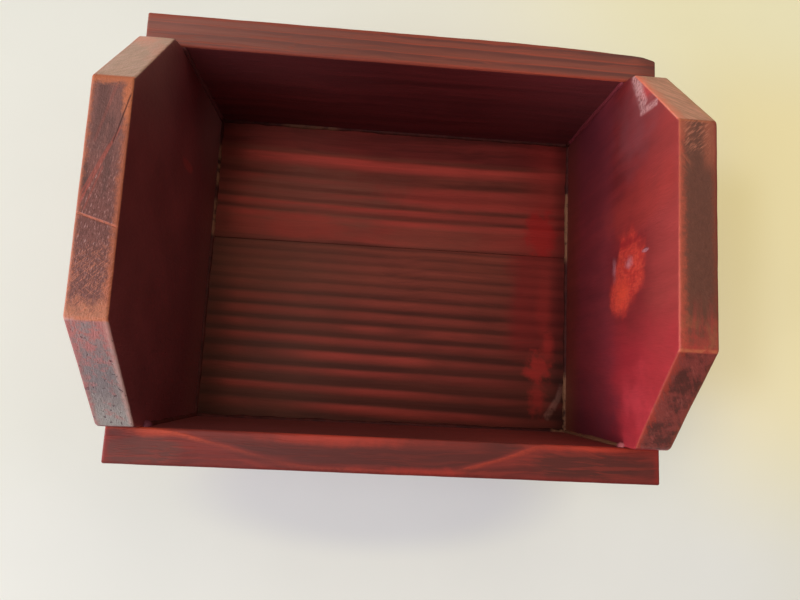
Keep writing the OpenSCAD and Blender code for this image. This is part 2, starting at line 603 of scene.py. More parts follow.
def front_floor_finish():
    """Front floor board: narrow even rings that spread towards the front wall."""
    f = Wood("stained_front_floor", "X")
    wander = (f.noise(f.lengthwise, 0.12, 2) - 0.5) * 2.4
    across = f.y + f.x * (0.0145 - f.y * 0.0002) + wander
    # Each ring is wider than the one behind it by the same share, so their count goes with a logarithm
    spread, count = 55, 16.67
    depth = (SEAM_Y - 1.9 - across) / spread + 1
    rings = f.math("LOGARITHM", depth, math.e) * count
    turn = f.math("FRACT", rings)
    number = rings - turn + f.math("ROUND", turn)
    spacing = depth * spread / count
    behind = (1 - turn) * spacing
    line = f.rise(behind, 1.6, 0.1) | f.rise(turn * spacing, 3.2, 0.1)
    strength = f.noise(f.vector(f.x * 0.02, number * 3.7, 0), 1, 2)
    toward_front = f.rise(f.y, 8, -38)
    line = line * (f.rise(strength, 0.25, 0.7) * 0.8 + 0.2) * (0.5 + toward_front * 0.4)
    line = line * (1 - f.rise(f.x, 25, 52) * toward_front * 0.6) * (0.7 + f.streak * 0.6)
    # Ring lines fade within 12 mm of the left wall: painted shade
    line = line * (0.4 + f.rise(f.x + WALL_X, 2, 12) * 0.6)
    base = f.paint(
        f.mix(f.rise(f.streak, 0.35, 0.65), (86, 39, 29), (106, 48, 35)),
        (f.rise(f.x, 10, -35) * 0.6, (98, 56, 41)),
        (toward_front * 0.4, (88, 38, 27)))
    # Darker from y = 0 towards the front wall: painted shade. The dip just behind each ring line is
    # grain.
    base = f.shade(base, (1 - f.between(behind, 1.5, 2.3, 1) * 0.2) * (1 + f.rise(f.y, -16, 0) * 0.5))
    colour = f.mix(line, base, f.mix(toward_front, (156, 68, 53), (172, 64, 52)))

    # Crimson stain down the right end
    crimson = f.between(f.x + (f.cloud - 0.5) * 12, 50, 62, 8)
    crimson = crimson * f.rise(f.y + (f.streak - 0.5) * 20, -34, -20)
    colour = f.mix(crimson * 0.75, colour, f.mix(line, (122, 32, 28), (162, 46, 40)))

    # Stain that ran down at the right and was wiped
    patch, scratch = partial(f.patch, f.x, f.y), partial(f.scratch, f.x, f.y)
    drip = union(
        patch((56.2, -32), (5, 6.5), 2.2, 0.3, 0.3),
        patch((53, -33.5), (3.4, 2.4), 1.6, 0.3, 0.3),
        patch((59.3, -24), (2.8, 7), 1.6, 0.25, 0.2) * 0.8,
        patch((55.5, -43), (3.6, 8), 2, 0.3, 0.2) * 0.7,
        patch((57.5, -8), (3.4, 14), 1.2, 0.15, 0.2) * 0.35)
    colour = f.mix(drip * (0.35 + f.streak * 0.7), colour, (186, 50, 42))
    wipe = union(
        scratch((65.2, -37), (63, -44.5), 1.5),
        scratch((63.4, -43), (58.6, -50.5), 1.7),
        scratch((63, -43.5), (61.5, -47.5), 1.3))
    smear = wipe * f.rise(f.streak + (f.speck - 0.5) * 0.3, 0.3, 0.6)
    colour = f.mix(smear * 0.6, colour, (172, 112, 94))
    return close_floor(f, colour, line * 0.6 + smear)


def rear_floor_finish():
    """Rear floor board: a few wide uneven rings."""
    f = Wood("stained_rear_floor", "X")
    patch = partial(f.patch, f.x, f.y)
    wander = (f.noise(f.lengthwise, 0.1, 3) - 0.5) * 3
    across = f.y - (f.x - 25) * (f.x - 25) * 0.00025 + wander

    # Rings from the rear forwards: the broad one, four narrower ones and a faint last one
    line = f.rise(across, 43.4, 41.6) * f.rise(across, 37.2, 40)
    gap = f.between(across, 34.9, 35.9, 0.9) * 0.6
    for place, level in ((33.3, 0.5), (28.2, 0.65), (23.4, 0.85), (19.2, 0.95)):
        ring = f.rise(across, place + 1.4, place + 0.1) * f.rise(across, place - 3.2, place - 0.3)
        line = line | ring * level
        gap = gap | f.between(across, place + 1.5, place + 2.3, 0.8)
    line = line | f.between(across, 11.5, 16.5, 1.5) * 0.5
    core = f.between(across, 40.6, 41.9, 0.9) * (0.4 + f.rise(f.streak, 0.3, 0.6) * 0.6)
    uneven = f.noise(f.vector(f.x * 0.022, across * 0.16, 0), 1, 2)
    line = line * (f.rise(uneven, 0.25, 0.7) * 0.7 + 0.4)
    base = f.mix(f.rise(f.streak, 0.35, 0.65), (112, 48, 37), (132, 58, 45))
    base = f.shade(base, 1 - gap * 0.3 * f.rise(uneven, 0.25, 0.6))
    # Ring lines fade within 12 mm of the left wall: painted shade
    line = line * (0.5 + f.rise(f.x + WALL_X, 3, 12) * 0.5)

    # Where the stain took more or less
    left_zone = patch((-28, 26), (36, 12), 1.2, 0.06)
    flank = patch((30, 29.5), (34, 4), 1, 0.1)
    # A darker, redder band along the back wall: redder stain, and painted shade where the back wall
    # shadows the floor
    rear = f.rise(across, 43.2, 45.2)
    colour = f.paint(
        f.mix(line, base, (180, 66, 54)),
        # The core line fades near the left wall: painted shade
        (core * f.rise(f.x + WALL_X, 5, 16) * 0.4, (214, 78, 64)),
        (left_zone * (1 - line) * (1 - gap * 0.6) * 0.7, (132, 76, 60)),
        (flank * 0.45, (176, 60, 50)),
        (patch((-34, 16), (14, 5), 1.2, 0.1) * 0.5, (176, 58, 46)),
        (patch((14, 14), (22, 4.5), 1.2, 0.1) * 0.4, (130, 66, 50)),
        # Redder stain and painted shade along the back wall
        (rear * 0.9, f.mix(f.rise(f.streak, 0.35, 0.65), (98, 32, 27), (126, 41, 35))),
        (f.rise(f.x + (f.cloud - 0.5) * 20, 40, 60) * 0.5, (146, 36, 31)),
        (patch((56, 18), (6, 9), 1.6, 0.2) * 0.6, (176, 30, 28)))
    # Brighter towards the rear left: painted light
    colour = f.shade(colour, 1 + f.rise(f.x, 0, -50) * f.rise(f.y, 4, 30) * 0.6)
    return close_floor(f, colour, line * 0.6)


def close_floor(f, colour, relief):
    """What both floor boards share: dirt and painted shade along the walls, sawn ends below and a dull
    varnish.
    """
    # Darker along the left, right and end walls: painted shade, with some dirt
    left = f.rise(WALL_X + f.x + (f.cloud - 0.5) * 8, 1, 13)
    right = f.rise(WALL_X - f.x + (f.cloud - 0.5) * 5, 0.5, 8)
    ends = f.rise(WALL_Y - abs(f.y) + (f.cloud - 0.5) * 5, 0.5, 5)
    level = (0.64 + left * 0.36) * (0.5 + right * 0.5) * (0.8 + ends * 0.2)
    level = level * (1 - f.rise(abs(f.y - SEAM_Y), 0.8, 0.2) * 0.1) * (0.84 + f.fibre * 0.32)
    colour = f.mix(f.rise(f.x, -10, -38) * 0.17, colour, (130, 84, 68))
    colour = f.shade(colour, level * (0.9 + f.cloud * 0.2))
    colour = f.mix(f.rise(f.z, 4, 2), colour, f.shade((150, 78, 58), 0.8 + f.streak * 0.4))
    return f.close(colour, 0.5 + f.cloud * 0.2, relief + f.fibre * 0.5, 0.25, gloss=0.14)


def right_end_finish():
    """Right end board: crimson inside with a wiped knot and dried glue, and dark worn end grain."""
    f = EndBoardWood("stained_right_end", 0.12)
    patch, scratch = partial(f.patch, f.y, f.z), partial(f.scratch, f.y, f.z)
    rim_patch = partial(f.patch, f.y, f.x)
    inside = f.x - WALL_X
    outside = OUTER_X - f.x
    soft = (f.noise(f.place, 0.12, 4, 0.6) - 0.5) * 2

    # Inside face, in the order the stain, the wiping and the glue came, with painted light and shade
    # among the stain's coats
    stain = f.rise(f.streak + (f.cloud - 0.5) * 0.6, 0.3, 0.7)
    inner = f.paint(
        f.mix(stain, (114, 34, 36), (136, 42, 43)),
        # Lighter towards the top: painted light
        (f.rise(f.z, 58, 88) * 0.75, (164, 62, 58)),
        (patch((13, 68), (8, 26), 2.6, 0.08, 0.2) * 0.4, (176, 58, 50)),
        # Brighter crimson high at the front: painted light
        (f.rise(f.y + soft * 8, -12, -32) * f.rise(f.z + soft * 12, 26, 62) * 0.55, (174, 38, 50)),
        (patch((-41, 67), (8, 12), 2.8, 0.15, 0) * 0.35, (206, 66, 74)),
        # Dark plum low at the front: purple tone and painted shade
        (f.rise(f.y + soft * 12, -32, -56) * f.rise(f.z + soft * 14, 70, 40) * 0.7, (100, 36, 46)),
        (patch((37, 66), (15, 17), 2.4, 0.12, 0) * 0.6, (140, 70, 74)),
        # Dark plum low at the rear: purple tone and painted shade
        (f.rise(f.y + soft * 8, 14, 52) * f.rise(f.z + soft * 8, 64, 34) * 0.55, (94, 38, 50)),
        (f.between(f.z + soft * 8, 26, 46, 12) * 0.35, (128, 52, 66)),
        (f.rise(f.z + soft * 4, 28, 14) * 0.5, (116, 52, 38)),
        (f.rise(f.z, 24, 12) * f.rise(f.y + soft * 8, -22, -50) * 0.6, (150, 82, 58)))
    knot = patch((-3.5, 62.5), (10.5, 9.5), 0.9, 0.2, 0.75)
    lobe = patch((-11, 57), (6, 7.5), 0.8, 0.25, 0.7)
    bite = patch((3.5, 52), (6.5, 5), 0.8, 0.25)
    knot = (knot | lobe) * (1 - bite)
    ring = patch((-4, 60.5), (15, 15), 1.2, 0.12, 0.4)
    crescent = patch((3.6, 62.5), (1.6, 6.5), 1.2, 0.3, 0.3)
    haze = union(
        patch((-2.5, 63), (2.2, 2.8), 1.6, 0.6, 0),
        patch((-0.8, 72.8), (0.6, 2), 0.8, 0.5),
        patch((-2.5, 53), (4, 1.6), 1.6, 0.6, 0) * 0.7)
    smear = scratch((54, 66), (40, 72.5), 2.8) | scratch((39.6, 69.5), (38.6, 80), 1.5) * 0.8
    smear = smear * f.rise(f.speck + soft * 0.3, 0.24, 0.6)
    ember = f.mix(f.rise(f.speck + soft * 0.3, 0.3, 0.7), (190, 48, 43), (220, 76, 58))
    inner = f.paint(
        inner,
        (ring * 0.4, (118, 26, 34)),
        (knot * (0.55 + f.fibre * 0.5), ember),
        (patch((-10.5, 58), (5, 5.5), 1.2, 0.3, 0) * 0.6, (232, 74, 48)),
        (crescent * 0.6, (128, 24, 34)),
        (haze * (0.25 + f.speck * 0.6), (190, 130, 138)),
        (patch((47, 74), (9, 9), 1.2, 0.15, 0.2) * 0.4, (190, 112, 110)),
        (patch((44.5, 75), (3, 5.5), 1, 0.3, 0.3) * 0.6, (198, 60, 58)),
        (smear * 0.75, (226, 168, 164)))
    mottle = f.noise(f.vector(f.y * 0.5, f.z * 0.2, 3), 0.5, 4, 0.6)
    inner = f.shade(inner, (0.86 + f.fibre * 0.28) * (0.8 + mottle * 0.4))

    # End grain on the top: its frayed ends, rubbed wedges and the sander's hatching, and a painted
    # highlight along the inner arris
    near = inside & outside
    slant = f.noise(f.vector((f.y + f.x * 1.2) * 0.5, (f.y - f.x) * 0.08, f.z * 0.1), 1.5, 4, 0.65)
    blotch = f.noise(f.place, 0.24, 4, 0.55)
    rubs = f.noise(f.vector(f.y * 0.1, f.x * 0.55, 7), 1, 4, 0.6)
    front_end = f.fray(f.y + (blotch - 0.5) * 16, 6, -19, -29)
    flushed = f.rise(rubs, 0.42, 0.6) * f.fray(f.y, 6, -14, -25)
    hatch = f.noise(f.vector((f.y - f.x) * 1.7, (f.y + f.x) * 0.2, 0), 1.5, 2)
    hatch = f.rise(hatch, 0.5, 0.6) * f.rise(f.y, 19, 22) * f.rise(near, 1.2, 2.2)
    rear_end = f.fray(f.y, 3, 36, 37.8)
    wedge = f.between(f.y, 20, 31, 6) * f.fray(outside, 4, 4.2, 2.2)
    wedge = wedge | f.between(f.y, 27, 36, 4) * f.fray(inside, 4, 4.4, 2)
    scraped = f.rise(slant, 0.5, 0.62) * f.rise(f.y - inside * 0.7, 11, 17) * f.rise(near, 4.5, 2)
    top = f.paint(
        f.mix(f.rise(f.ragged, 0.25, 0.75), (102, 58, 43), (114, 65, 49)),
        (f.fray(outside, 3.4, 2.2, 0.3) * 0.6, (144, 64, 42)),
        (f.fray(inside, 4.6, 2.8, 0.2) * 0.8, (190, 82, 58)),
        (front_end * 0.7, f.mix(f.rise(blotch, 0.42, 0.58), (176, 88, 60), (190, 66, 54))),
        (flushed * 0.6, (176, 62, 52)),
        ((front_end | flushed) * f.rise(f.ragged, 0.52, 0.7) * 0.5, (118, 60, 46)),
        ((wedge | scraped) * (0.3 + f.ragged * 0.7), (172, 88, 62)),
        (f.rise(f.y, 28, 32) * f.fray(near, 4, 2.4, 4.2) * 0.7, (82, 47, 39)),
        (rear_end * 0.75, (184, 92, 62)),
        (hatch * 0.55, (198, 116, 88)),
        (f.rise(outside + (f.ragged - 0.5), 0.9, 0.2) * 0.5, (140, 48, 36)),
        # Thin pink line on the inner arris: painted highlight
        (f.fray(inside, 0.6, 0.4, 0.1) * 0.45, (206, 92, 78)))

    # End grain on the clips, with a painted reflection on the rear one
    front_clip = f.paint(
        f.mix(f.rise(blotch + (slant - 0.5) * 0.6, 0.36, 0.64), (84, 36, 30), (132, 54, 47)),
        (f.rise(f.ragged, 0.55, 0.75) * 0.3, (150, 72, 66)),
        (f.rise(slant, 0.58, 0.7) * 0.4, (164, 86, 78)),
        (f.fray(inside + (slant - 0.5) * 7, 3, 2.2, 0) * 0.75, (170, 58, 44)),
        (f.fray(outside, 3, 1.8, 0.4) * 0.6, (150, 66, 42)))
    # The rear clip's pale tan is partly worn end grain and partly a painted reflection; its orange rim
    # and patches are wear
    rear_clip_grain_and_sheen = f.paint(
        f.mix(f.rise(slant, 0.36, 0.64), (190, 130, 104), (222, 152, 126)),
        (f.rise(inside + (slant - 0.5) * 8, 3.6, 0.3) * 0.75, (246, 122, 94)),
        (rim_patch((51, 65.5), (6, 2.4), 2.4, 0.2, 0.1) * 0.6, (255, 126, 98)),
        (rim_patch((60, 71), (4, 4), 2.4, 0.2, 0.1) * 0.4, (186, 140, 104)),
        (f.fray(outside, 2, 1.6, 0.4) * 0.5, (204, 142, 98)))
    grain = f.end_grain(top, front_clip, rear_clip_grain_and_sheen)
    return close_end(f, inner, grain, outside, haze + smear)


def left_end_finish():
    """Left end board: dark plum inside, and purple-brown end grain rubbed to orange along its rim."""
    f = EndBoardWood("stained_left_end", 0.1)
    patch, scratch = partial(f.patch, f.y, f.x), partial(f.scratch, f.y, f.x)
    inside = -WALL_X - f.x
    outside = f.x + OUTER_X

    # Inside face
    inner = f.paint(
        f.mix(f.rise(f.cloud, 0.3, 0.7), (104, 44, 46), (118, 51, 52)),
        (f.rise(f.z, 50, 34) * 0.5, (94, 41, 44)),
        (f.rise(f.z, 32, 14) * 0.45, (126, 68, 60)),
        (f.rise(f.y, 10, 48) * f.rise(f.z, 50, 80) * 0.6, (146, 94, 90)),
        (f.rise(f.y, 24, 50) * f.rise(f.z, 46, 18) * 0.8, (152, 102, 98)),
        (f.patch(f.y, f.z, (24, 44.5), (1.6, 5), 1, 0.3) * 0.4, (170, 54, 50)))
    inner = f.shade(inner, 0.93 + f.fibre * 0.14)

    # End grain on the top: its frayed ends, the sander's marks, a crack and scraped streaks, and a
    # painted highlight on the front ridge's outer corner
    near = inside & outside
    flow = f.vector(f.y * 0.5 + f.x * 0.1, f.x * 2.2 - f.y * 0.3, f.z * 0.3)
    flecks = f.noise(flow, 1.3, 4, 0.7)
    front_end = f.fray(f.y, 12, -23, -28)
    rear_end = f.fray(f.y, 4, 26.2, 28)
    rear_corner = patch((24, -66), (7.5, 2), 1.4, 0.4)
    up = f.noise(f.vector((f.y - f.x) * 1.9, (f.y + f.x) * 0.14, 0), 1.5, 3)
    down = f.noise(f.vector((f.y + f.x * 0.7) * 1.9, (f.y * 0.7 - f.x) * 0.14, 0), 1.5, 3)
    marks = f.rise(up, 0.52, 0.6) | f.rise(down, 0.56, 0.64) * 0.8
    marks = marks * f.between(f.y + (f.ragged - 0.5) * 10, -28, -15, 5)
    crack = scratch((-4.3, -76.5), (-7.6, -65.5), 0.42) * f.rise(f.speck, 0.25, 0.55)
    streak = union(
        scratch((-3.5, -75.4), (17, -67.6), 0.45) * f.rise(flecks, 0.25, 0.55),
        scratch((-1, -75.3), (12.5, -69.6), 0.35) * 0.8,
        scratch((-4.5, -74), (7, -70.6), 0.3) * 0.6,
        scratch((12, -73.4), (27, -69.6), 0.5) * 0.3)
    dark = union(
        patch((3.5, -74.6), (4.8, 0.8), 1.2, 0.5),
        patch((19, -72.5), (9, 1.7), 1.8, 0.3) * 0.6,
        patch((9, -69.8), (10, 1), 1.8, 0.3) * 0.6)
    line = scratch((12, -69.2), (25, -66.2), 0.25)
    top = f.paint(
        f.mix(f.rise(flecks, 0.25, 0.75), (102, 60, 53), (144, 86, 76)),
        (f.rise(flecks, 0.57, 0.68) * f.between(f.y, -16, 12, 8) * 0.8, (194, 146, 138)),
        (f.rise(f.y, -6, 18) * 0.3, (152, 110, 100)),
        (dark * 0.75, (86, 59, 55)),
        (f.fray(near, 4, 1.9, 0.1) * 0.8, (196, 106, 72)),
        (f.rise(outside, 1.3, 0.5) * f.rise(f.ragged, 0.35, 0.6) * 0.5, (212, 132, 104)),
        (front_end * 0.75, (204, 126, 92)),
        ((rear_corner | rear_end) * 0.8, (212, 120, 80)),
        (f.rise(f.speck, 0.56, 0.7) * f.rise(near, 2.4, 0.6) * 0.5, (126, 70, 56)),
        (marks * f.rise(flecks, 0.3, 0.6) * 0.65, (214, 124, 92)),
        (crack * 0.75, (214, 116, 88)),
        (streak * 0.6, (186, 84, 68)),
        (line * 0.8, (70, 34, 30)),
        # Pinkish white at the front ridge's outer corner: painted highlight
        (f.rise(f.y, -28.2, -29.2) * f.rise(outside, 4, 1) * 0.7, (208, 170, 170)))

    # End grain on the clips, partly under painted reflection
    slant = f.noise(f.vector((f.y - f.x * 1.2) * 0.6, (f.y + f.x) * 0.1, f.z * 0.12), 1.5, 4, 0.7)
    pit = f.rise(f.noise(f.place, 0.75, 2), 0.65, 0.72) * f.rise(f.y, -RIDGE_Y, -RIDGE_Y - 2)
    blush = f.rise(f.noise(f.place, 0.4, 5, 0.75) + f.rise(f.z, 74, 88) * 0.12, 0.53, 0.66)
    # The front clip's pale grey, its lighter grey low down and its pale inner rim are partly worn end
    # grain and partly painted reflection; the pink and the pits are the wood's
    front_clip = f.paint(
        f.mix(f.rise(slant, 0.2, 0.8), (120, 103, 100), (146, 128, 124)),
        (patch((-40.5, -71.5), (6, 4), 1.2, 0.3) * 0.5, (112, 94, 96)),
        (f.rise(f.z, 74, 68) * 0.5, (160, 150, 142)),
        (f.rise(f.z, 79, 86) * 0.4, (150, 104, 102)),
        (blush * 0.7, f.mix(f.rise(f.z, 78, 88), (166, 100, 96), (186, 96, 88))),
        (f.fray(outside, 3, 2.4, 0.2) * 0.7, (164, 82, 76)),
        (f.fray(inside, 2, 1.6, 0.2) * 0.6, (206, 148, 136)),
        (pit * 0.7, (92, 56, 64)))
    # The rear clip's pale tan is partly worn end grain and partly a painted reflection; its pinkish
    # patches are wear
    rear_clip_grain_and_sheen = f.paint(
        f.mix(f.rise(slant, 0.36, 0.64), (198, 154, 130), (218, 172, 148)),
        (patch((55, -73), (9, 7), 2.4, 0.15, 0.1) * 0.75, (240, 160, 134)),
        (patch((44, -67), (6, 2.5), 2.4, 0.15, 0.1) * 0.5, (234, 154, 130)),
        (f.fray(outside, 2, 1.4, 0.4) * 0.4, (206, 120, 92)))
    grain = f.end_grain(top, front_clip, rear_clip_grain_and_sheen)
    return close_end(f, inner, grain, outside, flecks * 0.8 - pit * 0.8 - crack * 0.5)


def close_end(f, inner, grain, outside, relief):
    """What both end boards share: where the end grain begins, the outer face, wear and a varnish."""
    top = END_TOP - f.z
    set_back = ((f.y - RIDGE_Y) | 0) * (REAR_SET_BACK / CLIP_RUN)
    from_edge = (END_EDGE - abs(f.y) - set_back) * (CLIP_DROP / CLIP_LENGTH)
    clip = from_edge + (END_TOP - CLIP_DROP - f.z) * (CLIP_RUN / CLIP_LENGTH)
    rim = f.rise(top & clip, 0.5, 0.2)
    ridge = f.rise(abs(abs(f.y) - RIDGE_Y), 0.6, 0.15) * f.rise(f.ragged, 0.3, 0.55)
    grain = f.mix(ridge * 0.55, grain, (204, 112, 74))
    colour = f.mix(f.rise(outside, 1, 0.5), inner, outer_stain(f, f.y, f.z))
    colour = f.mix(rim, colour, grain)
    colour = f.mix(f.rise(f.z, 1.4, 0.6), colour, f.shade((120, 62, 50), 0.7 + f.ragged * 0.6))
    foot = f.rise(outside | f.z, 1.6, 0.3) * f.rise(f.ragged, 0.35, 0.6)
    colour = f.mix(foot * 0.5, colour, (160, 76, 48))
    height = f.fibre * 0.5 + relief + f.speck * rim * 0.5
    coat = (1 - rim) * 0.12
    return f.close(colour, 0.38 + f.cloud * 0.16, height, 0.2,
                   coat=coat, coat_roughness=0.28, gloss=0.25)


def outer_stain(f, across, along):
    """Red-brown stain on an outer face, which shows the rings edge on as long straight bands."""
    bands = f.noise(f.vector(across * 0.3 + f.cloud * 0.8, along * 0.01, 0), 1, 3)
    colour = f.mix(f.rise(bands, 0.38, 0.62), (98, 38, 31), (128, 49, 38))
    colour = f.mix(f.rise(f.cloud, 0.45, 0.7) * 0.4, colour, (120, 36, 34))
    return f.shade(colour, 0.84 + f.fibre * 0.32)


def front_board_finish():
    """Front board: a flat-sawn figure on the top edge, dark wood inside a rubbed orange line."""
    f = Wood("stained_front_board", "X", 0.05)
    patch = partial(f.patch, f.x, f.y)
    wander = (f.noise(f.lengthwise, 0.25, 3) - 0.5) * 2.4
    curve = f.rise(f.x, 14, 47) * 9 - f.rise(f.x, -68, -18) * 9 - 54.6
    inward = f.y - curve + wander
    broken = f.rise(f.streak, 0.3, 0.55)
    line = f.rise(inward, -1.3, 0.1) * f.rise(inward, 0.7, 0.2) * (0.2 + broken * 0.8)
    line = line * (1 - f.between(f.x, -46, 6, 8) * 0.7) * (0.6 + f.rise(f.speck, 0.35, 0.6) * 0.4)
    lens = f.rise(inward, 0.5, 1.6)
    thread = f.rise(f.noise(f.lengthwise, 0.9, 3, 0.6), 0.48, 0.64)
    below = f.rise(inward, -0.8, -2)
    red = f.between(f.x, -46, 18, 12) * below
    top = f.paint(
        f.mix(f.rise(f.streak, 0.34, 0.66), (108, 44, 38), (132, 50, 42)),
        (lens * 0.85, (92, 44, 38)),
        (red * 0.4, (140, 48, 40)),
        (patch((-66, -60.6), (11, 4.2), 1.4, 0.12) * 0.8, (110, 58, 50)),
        (patch((56, -59.8), (20, 3.4), 1.2, 0.12) * 0.8, (88, 45, 38)),
        (patch((-14, -55.2), (26, 2.4), 1.2, 0.15, 0) * 0.9, (204, 68, 48)),
        (f.rise(f.y, -58.5, -55.5) * f.between(f.x, -55, 20, 12) * 0.4, (160, 58, 46)),
        (patch((-63, -55.9), (8, 1.4), 1.2, 0.25, 0.1) * 0.75, (194, 70, 46)),
        (patch((56, -55.2), (19, 1.3), 1.2, 0.15, 0.1) * 0.85, (196, 64, 44)),
        (patch((8, -63.6), (18, 1.6), 1.6, 0.2, 0) * 0.7, (178, 54, 42)),
        (thread * (0.15 + below * 0.25), (156, 56, 44)),
        (line * 0.8, f.mix(f.rise(f.x, -40, 20), (204, 78, 50), (176, 64, 46))))
    ends = f.rise(OUTER_X - abs(f.x) + (f.speck - 0.5) * 2, 2.4, 0.5)
    outer = f.rise(f.y + OUTER_Y + (f.speck - 0.5), 1.2, 0.3)
    top = f.mix(ends * 0.5, top, (160, 44, 36))
    # Darker along the outer arris: painted shade, set against the front strip's light on it
    top = f.mix(outer * 0.7, top, (100, 30, 25))
    return close_side(f, top, line + thread * 0.5, f.y + OUTER_Y)


def back_board_finish():
    """Back board: straight purple-brown and red-brown rings along the top edge."""
    f = Wood("stained_back_board", "X", 0.04)
    wander = (f.noise(f.lengthwise, 0.2, 3) - 0.5) * 2.4
    across = f.y + f.x * 0.01 + wander
    turn = f.math("FRACT", across / 2.9)
    dark = f.rise(turn, 0.45, 0.8) * f.rise(turn, 1, 0.92)
    line = f.rise(turn, 0.22, 0.02) * f.rise(f.streak, 0.3, 0.6)
    thread = f.rise(f.noise(f.lengthwise, 1.1, 3, 0.6), 0.5, 0.68)
    top = f.paint(
        f.mix(f.rise(f.streak, 0.3, 0.7), (124, 66, 53), (142, 74, 58)),
        (dark * 0.65, (98, 54, 48)),
        (line * 0.7, (178, 76, 54)),
        (f.rise(f.x, 15, -70) * 0.4, (160, 112, 100)),
        (thread * 0.45, (164, 76, 56)),
        (f.rise(f.y - WALL_Y + (f.speck - 0.5), 1.4, 0.3) * 0.6, (176, 70, 50)),
        (f.rise(OUTER_Y - f.y + (f.speck - 0.5), 1.6, 0.5) * 0.6, (170, 70, 46)),
        (f.rise(f.x, 68, 75) * 0.5, (100, 44, 34)))
    return close_side(f, top, line + thread * 0.5, OUTER_Y - f.y)


def close_side(f, top, relief, outside):
    """What both side boards share: the faces below the top edge, the ends and a varnish."""
    inside = f.mix(f.rise(f.streak, 0.3, 0.7), (88, 33, 36), (114, 43, 45))
    pale = f.rise(f.x, 5, -50) * f.rise(f.z, 30, 54) | f.rise(f.x, 20, 56) * 0.36
    inside = f.paint(
        inside,
        (pale * 0.75, (138, 68, 71)),
        (f.rise(f.y, 0, -50) * 0.6, f.mix(f.rise(f.x, 0, 50), (128, 62, 54), (176, 82, 70))),
        # Darker low on the back board's inside, by the floor: painted shade
        (f.rise(f.z, 34, 18) * f.rise(f.y, 0, 50) * 0.35, (72, 23, 23)))
    ragged = f.noise(f.place, 0.5, 4, 0.65)
    rings = ((abs(f.y) - 30) ** 2 + (f.z - 110) ** 2) ** 0.5 / 3.2 + ragged * 0.3
    ring = f.math("FRACT", rings)
    late = f.rise(ring, 0.3, 0.8) * f.rise(ring, 1, 0.88)
    end = f.mix(f.rise(ragged, 0.35, 0.65), (92, 48, 41), (116, 60, 50))
    end = f.shade(end, 1 - late * 0.3)
    arris = f.rise(f.z | outside, 1.5, 0.3) | f.rise((OUTER_X - abs(f.x)) | outside, 1.2, 0.3)
    colour = f.paint(
        inside,
        (f.rise(outside, 6, 4), outer_stain(f, f.z, f.x)),
        (f.rise(OUTER_X - abs(f.x), 0.8, 0.4), end),
        (f.rise(SIDE_TOP - f.z, 0.7, 0.35), top),
        (arris * f.rise(ragged, 0.38, 0.6) * 0.4, (160, 70, 48)))
    colour = f.shade(colour, 0.86 + f.fibre * 0.28)
    height = f.fibre * 0.6 + relief * 0.4 + f.streak * 0.3
    return f.close(colour, 0.42 + f.cloud * 0.14, height, 0.2,
                   coat=0.05, coat_roughness=0.3, gloss=0.16)


def glue_finish():
    """Dried glue: stained dark in most places, bare and tan in a few."""
    f = Finish("dried_glue")
    cloud = f.noise(f.place, 0.35, 3, 0.6)
    grit = f.noise(f.place, 1.6, 3, 0.6)
    right = f.rise(f.x, 60, 62) * (f.between(f.y, 11, 33, 4) | f.between(f.y, -56, -36, 4))
    left = f.rise(f.x, -60, -62) * (f.between(f.y, 31, 43, 3) | f.between(f.y, 12, 22, 3) * 0.7)
    rear = f.rise(f.y, 50, 52) * f.between(f.x, -41, -25, 4) * 0.4
    upright = f.rise(f.x, 60, 62) * f.rise(f.y, -50, -52) * f.rise(f.z, 12, 14)
    bare = (right | left | rear) * f.rise(f.z, 20, 14) * f.rise(cloud, 0.3, 0.5) | upright
    stained = f.mix(f.rise(cloud, 0.35, 0.65), (64, 25, 21), (84, 34, 28))
    rear_corner = f.rise(f.z, 12, 15) * f.rise(f.y, 50, 52)
    stained = f.mix(rear_corner, stained, f.mix(f.rise(f.x, -10, 10), (104, 54, 54), (124, 46, 54)))
    colour = f.mix(bare * 0.8, stained, (160, 108, 78))
    lump = f.rise(f.z, 55, 57.5) * f.rise(f.y, -50, -52)
    colour = f.mix(lump, colour, f.mix(f.rise(f.x, -10, 10), (108, 50, 60), (184, 96, 98)))
    colour = f.shade(colour, 0.85 + grit * 0.3)
    return f.close(colour, 0.6, cloud + grit * 0.4, 0.3, gloss=0.15)


# ---------------------------------------------------------------- operators


